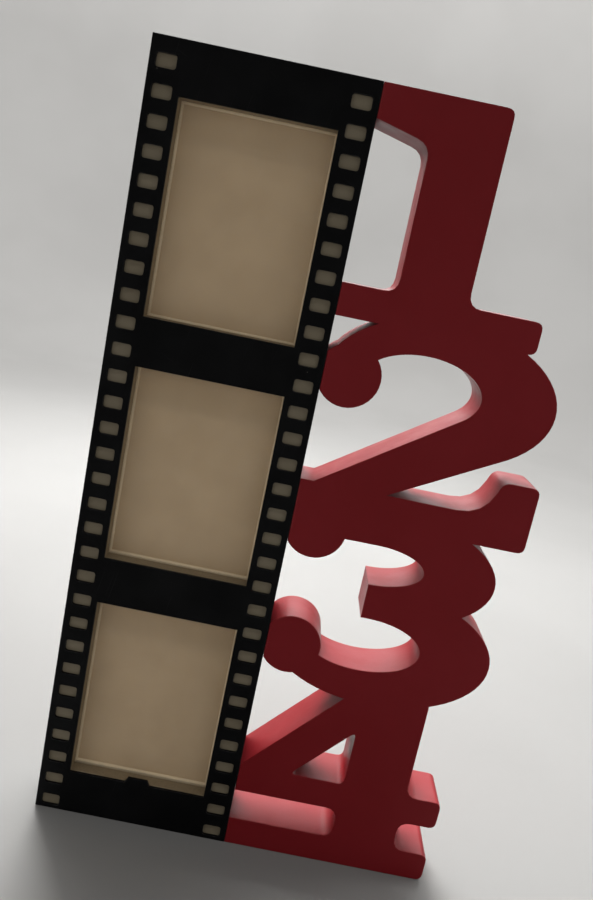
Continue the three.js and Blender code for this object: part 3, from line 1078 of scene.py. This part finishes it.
def merged_mesh(mesh: bpy.types.Mesh) -> tuple[np.ndarray, np.ndarray]:
    """Reads a mesh of loose triangles and merges the corners that coincide.

    Args:
        mesh: The mesh.

    Returns:
        The corners, and the corner numbers of the triangles that keep an area.
    """
    corners = np.empty(3 * len(mesh.vertices), np.float32)
    mesh.vertices.foreach_get("co", corners)
    mesh.calc_loop_triangles()
    triangles = np.empty(3 * len(mesh.loop_triangles), np.int32)
    mesh.loop_triangles.foreach_get("vertices", triangles)
    grid = np.round(corners.reshape(-1, 3) / WELD).astype(np.int64)
    merged, numbers = np.unique(grid, axis=0, return_inverse=True)
    joined = numbers.reshape(-1)[triangles].reshape(-1, 3)
    whole = np.all(joined != np.roll(joined, 1, axis=1), axis=1)
    return merged * WELD, joined[whole]


def carried(outline: Outline, profile: EdgeProfile, holes_only: bool = False) -> MeshParts:
    """Carries a wall profile round an outline and fills both ends.

    A station's corner is the outline's corner plus the station's inset times the inward offset, at the
    station's depth. Neighbouring stations are joined by a quad along each rim edge.

    Args:
        outline: The outline.
        profile: The wall's profile.
        holes_only: Whether the outer rim keeps upright walls.

    Returns:
        The mesh's arrays, with a Side as the kind of each face.
    """
    stations = len(profile.inset)
    corners = len(outline.points)
    outer = outline.outer_rim()
    scale = np.ones(corners)
    if holes_only:
        scale[outline.rim[outer].ravel()] = 0.0
    offset = profile.inset[:, None, None] * (outline.inward * scale[:, None])[None]
    depth = np.broadcast_to(outline.near + profile.depth[:, None], (stations, corners))
    points = outline.axis.placed(outline.points[None] + offset, depth)
    start, stop = outline.rim.T
    first = corners * np.arange(stations - 1)[:, None]
    walls = np.stack([start + first, start + first + corners, stop + first + corners, stop + first], axis=-1)
    near = outline.filled(profile.inset[0])
    far = near[:, ::-1] + corners * (stations - 1)
    wall_kinds = np.tile(np.where(outer, Side.OUTER_WALL, Side.HOLE_WALL), stations - 1)
    end_kinds = np.repeat([Side.NEAR, Side.FAR], len(near))
    return MeshParts(
        points=points.reshape(-1, 3),
        faces=[near, far, walls.reshape(-1, 4)],
        kinds=np.concatenate([end_kinds, wall_kinds]),
        wear=np.repeat(profile.wear, corners),
    )


def ring_quads(rings: int, around: int) -> np.ndarray:
    """Joins each ring of a turned grid to the next one, with a quad along each step of the turn.

    Args:
        rings: How many rings there are.
        around: How many corners each ring has.

    Returns:
        The corner numbers of the quads, ring by ring.
    """
    here = np.arange(around)
    after = np.roll(here, -1)
    first = around * np.arange(rings - 1)[:, None]
    second = first + around
    quads = np.stack([here + first, after + first, after + second, here + second], axis=-1)
    return quads.reshape(-1, 4)


def settled(piece: bpy.types.Object, body: str, slot: str, *nodes: str) -> bpy.types.Object:
    """Puts a new piece on its body in place of CAD nodes, and reports it.

    Args:
        piece: The piece, in its place.
        body: The CAD body that it moves with.
        slot: The record's material slot; not used.
        nodes: The CAD nodes that it stands for.

    Returns:
        The piece.
    """
    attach(piece, body)
    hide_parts(*nodes)
    log.info("%s: %d faces, stands for %s", piece.name, len(piece.data.polygons), ", ".join(nodes))
    return piece


def eased(
    node: str,
    edge: Edge,
    finishes: list[Finish],
    slot: str,
    axis: Axis = Axis.ALONG_Y,
    body: str = FRAME_BODY,
    ending: str = "finished",
) -> None:
    """Builds a CAD node anew with rounded edges, dresses it and puts it on its body.

    Args:
        node: The CAD node's name.
        edge: Its edges.
        finishes: The finish of each Side.
        slot: The record's material slot, handed on to settled.
        axis: The axis that it is a prism along.
        body: The CAD body that it moves with.
        ending: What the piece's name adds to the node's name.
    """
    outline = Outline.of_node(node, axis)
    profile = EdgeProfile.rounded(outline.far - outline.near, edge)
    piece = carried(outline, profile).made(f"{node}_{ending}", finishes)
    settled(piece, body, slot, node)


def dress_node(node: str, finish: Finish) -> None:
    """Gives a CAD node that stays as it is a finish, and reports it.

    Args:
        node: The CAD node's name.
        finish: Its finish.
    """
    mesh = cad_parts[node].data
    mesh.materials.clear()
    mesh.materials.append(finish.material())
    log.info("%s: CAD node, %s", node, finish.name)


# Sub-assemblies


@dataclass
class FilmStrip:
    """The black film sheet and the cream face board behind it.

    Attributes:
        sheet_edge: The film sheet's edges.
        face_edge: The face board's edges.
    """

    sheet_edge: Edge = Edge(radius=0.14 * MM, band=0.12 * MM, steps=2)
    face_edge: Edge = Edge(radius=0.12 * MM, band=0.3 * MM, steps=2)

    def build(self) -> None:
        """Builds and dresses both layers."""
        self.film_sheet()
        self.face_board()

    def film_sheet(self) -> None:
        """The sheet, black all through."""
        eased("film_sheet", self.sheet_edge, [FILM_PLASTIC] * len(Side), "film_black")

    def face_board(self) -> None:
        """The board, primed in front, cream in its windows and black outside."""
        finishes = [GREY_PRIMER, BLACK_PAINT, BLACK_PAINT, CREAM_PAINT]
        eased("face_board", self.face_edge, finishes, "cream_paint")


@dataclass
class BackFrame:
    """The black stiles and rails that carry the face board and the back panels.

    Attributes:
        edge: Their edges.
        uprights: The CAD nodes that are built as prisms along Y.
        ends: The CAD nodes that are built as prisms along X.
    """

    edge: Edge = Edge(radius=0.45 * MM, band=0.6 * MM, steps=3)
    uprights: tuple[str, ...] = ("left_stile", "right_stile", "upper_cross_rail", "lower_cross_rail")
    ends: tuple[str, ...] = ("top_rail", "bottom_rail")

    def build(self) -> None:
        """Builds and dresses every stile and rail."""
        for node in self.uprights:
            eased(node, self.edge, [BLACK_PAINT] * len(Side), "black_paint")
        for node in self.ends:
            eased(node, self.edge, [BLACK_PAINT] * len(Side), "black_paint", axis=Axis.ALONG_X)


@dataclass
class PhotoPocket:
    """What fills one pocket: clear cover, mat, blank card and back panel.

    Attributes:
        window: The window's name.
        bevel: The width of the mat's sloping edge.
        lip: The height of the mat's upright lip.
        panel_edge: The back panel's edges.
    """

    window: str
    bevel: float = 0.55 * MM
    lip: float = 0.12 * MM
    panel_edge: Edge = Edge(radius=0.25 * MM, band=0.5 * MM, steps=2)

    def build(self) -> None:
        """Builds and dresses the four layers."""
        dress_node(f"{self.window}_clear_cover", CLEAR_SHEET)
        dress_node(f"{self.window}_photo_card", PHOTO_CARD)
        self.mat()
        self.back_panel()

    def mat(self) -> None:
        """The mat, with its opening cut on a slope that shows the pale core."""
        node = f"{self.window}_mat"
        outline = Outline.of_node(node, Axis.ALONG_Y)
        profile = EdgeProfile.bevelled(outline.far - outline.near, self.bevel, self.lip)
        parts = carried(outline, profile, holes_only=True)
        piece = parts.made(f"{node}_bevelled", [MAT_FACE, MAT_FACE, MAT_CORE, MAT_CORE])
        settled(piece, FRAME_BODY, "mat_board", node)

    def back_panel(self) -> None:
        """The hardboard back panel, with its cut edges a little broken."""
        eased(f"{self.window}_back_panel", self.panel_edge, [HARDBOARD] * len(Side), "hardboard")


@dataclass
class TurnButton:
    """One turn button and the screw that it turns on.

    Attributes:
        name: The button's name.
        plate_edge: The stamped plate's edges.
        rim_height: The height of the straight edge below the screw head's dome.
        arm_length: Half the length of the cross recess.
        arm_width: Half the width of its arms.
        recess_depth: The depth of the recess.
        recess_slope: The width of its sloping walls.
        shank_radius: The radius of the screw's shank.
        point: The length of its point.
        around: How many facets go round the screw.
        across: How many facets go from the head's middle to its rim.
    """

    name: str
    plate_edge: Edge = Edge(radius=0.35 * MM, band=0.2 * MM, steps=3)
    rim_height: float = 0.5 * MM
    arm_length: float = 1.75 * MM
    arm_width: float = 0.42 * MM
    recess_depth: float = 0.95 * MM
    recess_slope: float = 0.22 * MM
    shank_radius: float = 1.4 * MM
    point: float = 1.6 * MM
    around: int = 96
    across: int = 36

    def build(self) -> None:
        """Builds and dresses the plate and its screw."""
        self.plate()
        self.screw()

    def plate(self) -> None:
        """The stamped plate with rounded edges, on its own moving body."""
        eased(
            f"{self.name}_turn_button",
            self.plate_edge,
            [ZINC_STEEL] * len(Side),
            "zinc_steel",
            body=f"{self.name}_button",
            ending="stamped",
        )

    def screw(self) -> None:
        """The screw as a grid of rings: a domed head with a cross recess, its underside, shank and point.

        The dome is rim + (height - rim) times the root of 1 - (r / R) squared. The recess takes its depth
        times the smooth share by which a point lies inside either arm, divided by the slope of its walls.
        """
        node = f"{self.name}_pivot_screw"
        low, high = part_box(node)
        middle = (low + high) / 2
        head_radius = (high.x - low.x) / 2
        length = high.y - low.y
        head = self.head_height(node)
        spread = np.sin(np.linspace(0, math.pi / 2, self.across + 1))[1:]
        under = np.array([1.0, self.shank_radius / head_radius, self.shank_radius / head_radius])
        radius = head_radius * np.concatenate([spread, under])
        dome = self.rim_height + (head - self.rim_height) * np.sqrt(1 - spread**2)
        height = np.concatenate([dome, [0.0, 0.0, head - length + self.point]])
        turn = np.linspace(0, 2 * math.pi, self.around, endpoint=False)
        across = radius[:, None] * np.cos(turn)
        up = radius[:, None] * np.sin(turn)
        on_dome = (np.arange(len(radius)) < self.across)[:, None]
        depth = height[:, None] - np.where(on_dome, self.recess(across, up), 0.0)
        rings = np.stack([across + middle.x, depth + high.y - head, up + middle.z], axis=-1).reshape(-1, 3)
        crown = [middle.x, high.y - self.recess_depth, middle.z]
        tip = [middle.x, low.y, middle.z]
        points = np.concatenate([rings, [crown, tip]])
        here = np.arange(self.around)
        after = np.roll(here, -1)
        last = self.around * (len(radius) - 1)
        crown_fan = np.stack([after, here, np.full_like(here, len(rings))], axis=-1)
        tip_fan = np.stack([here + last, after + last, np.full_like(here, len(rings) + 1)], axis=-1)
        parts = MeshParts.plain(points, [ring_quads(len(radius), self.around), crown_fan, tip_fan])
        settled(parts.made(f"{node}_turned", [ZINC_STEEL]), FRAME_BODY, "zinc_steel", node)

    def head_height(self, node: str) -> float:
        """The height of the screw's head above its underside, read from the CAD node.

        Args:
            node: The screw's CAD node.

        Returns:
            The distance from the widest ring's lowest corner to the top.
        """
        corners, _ = merged_mesh(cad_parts[node].data)
        middle = (corners[:, [0, 2]].min(axis=0) + corners[:, [0, 2]].max(axis=0)) / 2
        reach = np.linalg.norm(corners[:, [0, 2]] - middle, axis=1)
        widest = reach > reach.max() - NEAR_WIDEST
        return float(corners[:, 1].max() - corners[widest, 1].min())

    def recess(self, across: np.ndarray, up: np.ndarray) -> np.ndarray:
        """The depth of the cross recess at points of the head.

        Args:
            across: Their distances from the middle along X.
            up: Their distances from the middle along Z.

        Returns:
            The depths, from nought to the recess's full depth.
        """
        level = np.minimum(self.arm_length - np.abs(across), self.arm_width - np.abs(up))
        upright = np.minimum(self.arm_width - np.abs(across), self.arm_length - np.abs(up))
        share = np.clip(np.maximum(level, upright) / self.recess_slope, 0, 1)
        return self.recess_depth * share * share * (3 - 2 * share)


@dataclass
class NumeralBoard:
    """The red board of stacked numerals, and the dowels that join it to the strip.

    Attributes:
        edge: Its sanded edges.
        dowels: How many dowels there are.
    """

    edge: Edge = Edge(radius=0.32 * MM, band=0.08 * MM, steps=4)
    dowels: int = 6

    def build(self) -> None:
        """Builds and dresses the board, and dresses the dowels."""
        eased("numeral_board", self.edge, [RED_PAINT] * len(Side), "red_paint")
        for number in range(1, self.dowels + 1):
            dress_node(f"dowel_{number}", BEECH)


# Studio

WARM_LIGHT = (1.0, 0.94, 0.86)
WALL_LIGHT_REACH = 0.7  # from the middle of the floor to a wall's softbox
WALL_LIGHT_HEIGHT = 1.3
WALL_LIGHT_SIZE = (1.6, 0.5)
WALL_REACH = 1.7  # from the middle of the floor to the wall
WALL_AIM_HEIGHT = 0.5


@dataclass(frozen=True)
class Softbox:
    """A soft rectangular light.

    Attributes:
        name: Its name.
        place: Where it stands.
        aim: The point that it faces.
        size: Its width and height.
        power: Its power in watts.
        colour: Its colour.
        spread_deg: How widely its light fans out.
        mirrored: Whether glossy faces mirror it.
    """

    name: str
    place: Place
    aim: Place
    size: tuple[float, float]
    power: float
    colour: Colour = (1.0, 1.0, 1.0)
    spread_deg: float = 180.0
    mirrored: bool = True

    @classmethod
    def for_wall(cls, side: str, way: tuple[int, int], power: float) -> "Softbox":
        """A wide softbox that lights one side of the studio's wall.

        Args:
            side: The side's name.
            way: The way to it along X and Y.
            power: The light's power in watts.

        Returns:
            The softbox.
        """
        x, y = way
        place = (WALL_LIGHT_REACH * x, WALL_LIGHT_REACH * y, WALL_LIGHT_HEIGHT)
        aim = (WALL_REACH * x, WALL_REACH * y, WALL_AIM_HEIGHT)
        return cls(f"{side}_wall_softbox", place, aim, WALL_LIGHT_SIZE, power)

    def build(self) -> None:
        """Makes the light, hidden from the camera."""
        light = bpy.data.lights.new(self.name, "AREA")
        light.shape = "RECTANGLE"
        light.size, light.size_y = self.size
        light.energy = self.power
        light.color = self.colour
        light.spread = math.radians(self.spread_deg)
        lamp = bpy.data.objects.new(self.name, light)
        lamp.location = self.place
        lamp.rotation_euler = (Vector(self.aim) - Vector(self.place)).to_track_quat("-Z", "Y").to_euler()
        lamp.visible_camera = False
        lamp.visible_glossy = self.mirrored
        bpy.context.scene.collection.objects.link(lamp)
        log.info("%s: %g W", self.name, self.power)


@dataclass
class Studio:
    """A pale floor that curves up into a round wall, soft lights, and the photograph's camera.

    Attributes:
        floor_radius: The radius of the floor's level part.
        cove_radius: The radius of its curve into the wall.
        wall_height: The height of the wall above the curve.
        around: How many facets go round.
        cove_steps: How many facets make the curve.
        air: The brightness of the light from all round.
        air_colour: Its colour.
        eye: Where the camera stands.
        ahead: The way that it looks.
        right: The way to the right in its image.
        lens_mm: Its focal length on a 36 mm sensor.
        nearest: The nearest that it sees.
        lights: The softboxes.
    """

    floor_radius: float = 1.1
    cove_radius: float = 0.6
    wall_height: float = 0.8
    around: int = 96
    cove_steps: int = 24
    air: float = 0.1
    air_colour: Colour = (1.0, 0.985, 0.96)
    eye: Place = (-0.01285, -0.3141, 0.2376)
    ahead: Place = (0.015, 0.9762, -0.2163)
    right: Place = (0.9795, 0.0291, 0.1992)
    lens_mm: float = 33.34
    nearest: float = 0.01
    lights: tuple[Softbox, ...] = (
        Softbox(
            "overhead_softbox",
            place=(-0.05, 0.55, 0.95),
            aim=(0.0, 0.0, 0.1),
            size=(0.9, 0.4),
            power=8.4,
        ),
        Softbox(
            "rear_softbox",
            place=(-0.3, 0.95, 0.72),
            aim=(0.0, 0.0, 0.15),
            size=(0.6, 0.6),
            power=8.2,
            spread_deg=80,
            mirrored=False,
        ),
        Softbox(
            "ledge_softbox",
            place=(0.2, 1.05, 0.76),
            aim=(0.03, 0.0, 0.1),
            size=(0.9, 0.45),
            power=4.2,
        ),
        Softbox(
            "right_softbox",
            place=(0.9, 0.35, 0.5),
            aim=(0.0, 0.0, 0.15),
            size=(0.4, 0.8),
            power=3.0,
        ),
        Softbox(
            "front_softbox",
            place=(-0.05, -1.3, 0.4),
            aim=(0.0, 0.0, 0.2),
            size=(1.0, 0.7),
            power=0.85,
            colour=WARM_LIGHT,
            mirrored=False,
        ),
        Softbox.for_wall("back", (0, 1), 44.0),
        Softbox.for_wall("front", (0, -1), 12.0),
        Softbox.for_wall("left", (-1, 0), 16.0),
        Softbox.for_wall("right", (1, 0), 16.0),
    )

    def build(self) -> None:
        """Builds the floor, the air, the lights and the camera."""
        self.floor()
        self.surround()
        for light in self.lights:
            light.build()
        self.camera()

    def floor(self) -> None:
        """The floor as a profile turned about Z: level, then a quarter circle up, then an upright wall."""
        rise = np.linspace(0, math.pi / 2, self.cove_steps + 1)
        wall = self.floor_radius + self.cove_radius
        radius = np.concatenate([self.floor_radius + self.cove_radius * np.sin(rise), [wall]])
        top = self.cove_radius + self.wall_height
        height = np.concatenate([self.cove_radius * (1 - np.cos(rise)), [top]])
        turn = np.linspace(0, 2 * math.pi, self.around, endpoint=False)
        level = np.broadcast_to(height[:, None], (len(height), self.around))
        rings = np.stack([radius[:, None] * np.cos(turn), radius[:, None] * np.sin(turn), level], axis=-1)
        level_part = np.arange(self.around)[None]
        parts = MeshParts.plain(rings.reshape(-1, 3), [ring_quads(len(radius), self.around), level_part])
        parts.made("studio_floor", [STUDIO_PAPER])

    def surround(self) -> None:
        """Even grey light from all round."""
        world = bpy.data.worlds.new("studio_air")
        world.use_nodes = True
        background = world.node_tree.nodes["Background"]
        background.inputs["Color"].default_value = (*self.air_colour, 1.0)
        background.inputs["Strength"].default_value = self.air
        bpy.context.scene.world = world
        bpy.context.scene.view_settings.view_transform = "Standard"

    def camera(self) -> None:
        """The camera, with its axes made square from the two stated directions."""
        back = -Vector(self.ahead).normalized()
        up = back.cross(Vector(self.right)).normalized()
        right = up.cross(back)
        data = bpy.data.cameras.new("photo_camera")
        data.lens = self.lens_mm
        data.clip_start = self.nearest
        eye = bpy.data.objects.new("photo_camera", data)
        turned = Matrix((right, up, back)).transposed().to_4x4()
        eye.matrix_world = Matrix.Translation(self.eye) @ turned
        bpy.context.scene.collection.objects.link(eye)
        bpy.context.scene.camera = eye


def main() -> None:
    """Builds the sub-assemblies and the studio in order."""
    logging.basicConfig(level=logging.INFO, format="%(message)s")
    FilmStrip().build()
    BackFrame().build()
    for window in ("upper", "middle", "lower"):
        PhotoPocket(window).build()
    for name in ("top", "upper", "lower", "bottom"):
        TurnButton(name).build()
    NumeralBoard().build()
    Studio().build()


if __name__ == "__main__":
    main()
